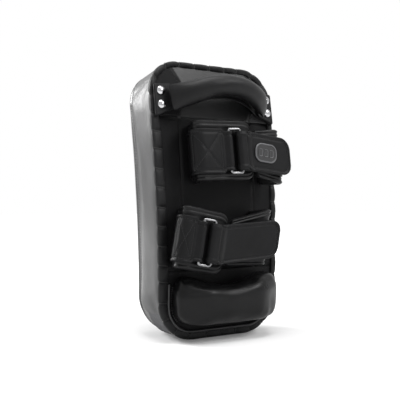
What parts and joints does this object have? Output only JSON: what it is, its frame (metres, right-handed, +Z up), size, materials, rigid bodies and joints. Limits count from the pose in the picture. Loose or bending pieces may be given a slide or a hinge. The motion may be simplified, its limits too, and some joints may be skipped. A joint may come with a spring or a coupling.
{
  "type": "thai pad",
  "caption": "Bowed martial-arts kick pad in black leather with a padded grip, a bumper roll and two ring-closed forearm straps.",
  "frame": {"origin": "under the middle of the standing pad's bounding box, on the floor", "axes": "+X across the pad, to the right as the holder sees the back; +Y towards the strike face; +Z up, from the bumper end to the grip end"},
  "size_m": [0.2086, 0.1674, 0.3901],
  "materials": {
    "cover_leather": "black synthetic leather, satin, smooth on the gusset, strike face and bumper",
    "back_leather": "black synthetic leather, matt, on the back panels",
    "grained_leather": "black synthetic leather with a coarse pebbled grain",
    "binding_leather": "black synthetic leather binding and piping, lock-stitched",
    "strap_leather": "black synthetic leather straps, satin, with stitched edges",
    "cuff_leather": "black synthetic leather over padding, satin, puffed",
    "foam": "closed-cell foam, matt, inside the covers",
    "board": "stiff sheet, matt, inside the pad",
    "chrome_steel": "bright nickel-chrome plated steel",
    "zinc_steel": "zinc-plated steel washers, inside the pad",
    "hook_and_loop": "black hook and loop tape",
    "badge_rubber": "plain moulded rubber badge, satin, with ribs and no marking"
  },
  "bodies": {
    "pad": {"handle_rivets": "chrome_steel", "rivet_burrs": "zinc_steel", "strike_face": "cover_leather", "side_gusset": "cover_leather", "backing_board": "board", "core_foam": "foam", "impact_foam": "foam", "left_side_panel": "back_leather", "forearm_panel": "back_leather", "right_side_panel": "back_leather", "left_corner_patch": "back_leather", "crown_panel": "back_leather", "right_corner_patch": "grained_leather", "base_panel": "back_leather", "edge_binding": "binding_leather", "handle_strap": "strap_leather", "handle_end_tabs": "strap_leather", "grip_cover": "cuff_leather", "grip_core": "foam", "bumper_cover": "cover_leather", "bumper_core": "foam", "bumper_piping": "binding_leather", "upper_anchor_cuff": "cuff_leather", "upper_anchor_strap": "strap_leather", "upper_return_cuff": "cuff_leather", "upper_return_strap": "strap_leather", "upper_loop_patch": "hook_and_loop", "lower_anchor_cuff": "cuff_leather", "lower_anchor_strap": "strap_leather", "lower_return_cuff": "cuff_leather", "lower_return_strap": "strap_leather", "lower_loop_patch": "hook_and_loop"},
    "upper_ring": {"upper_ring": "chrome_steel"},
    "upper_tail": {"upper_tail": "strap_leather", "upper_hook_patch": "hook_and_loop", "upper_badge": "badge_rubber"},
    "lower_ring": {"lower_ring": "chrome_steel"},
    "lower_tail": {"lower_tail": "strap_leather", "lower_hook_patch": "hook_and_loop"}
  },
  "joints": [
    {"name": "upper_ring_swivel", "type": "hinge", "parent": "pad", "child": "upper_ring", "pos_m": [-0.0074, -0.06635, 0.26143], "axis": [-0.0349, 0.1025, 0.9941], "range_deg": [-6, 6]},
    {"name": "upper_tail_peel", "type": "hinge", "parent": "pad", "child": "upper_tail", "pos_m": [0.01958, -0.0749, 0.26326], "axis": [0.0349, -0.1025, -0.9941], "range_deg": [0, 150]},
    {"name": "lower_ring_swivel", "type": "hinge", "parent": "pad", "child": "lower_ring", "pos_m": [-0.06, -0.07419, 0.13909], "axis": [0.1908, 0.0249, 0.9813], "range_deg": [-6, 6]},
    {"name": "lower_tail_peel", "type": "hinge", "parent": "pad", "child": "lower_tail", "pos_m": [-0.0335, -0.08302, 0.13416], "axis": [-0.1908, -0.0249, -0.9813], "range_deg": [0, 150]}
  ]
}
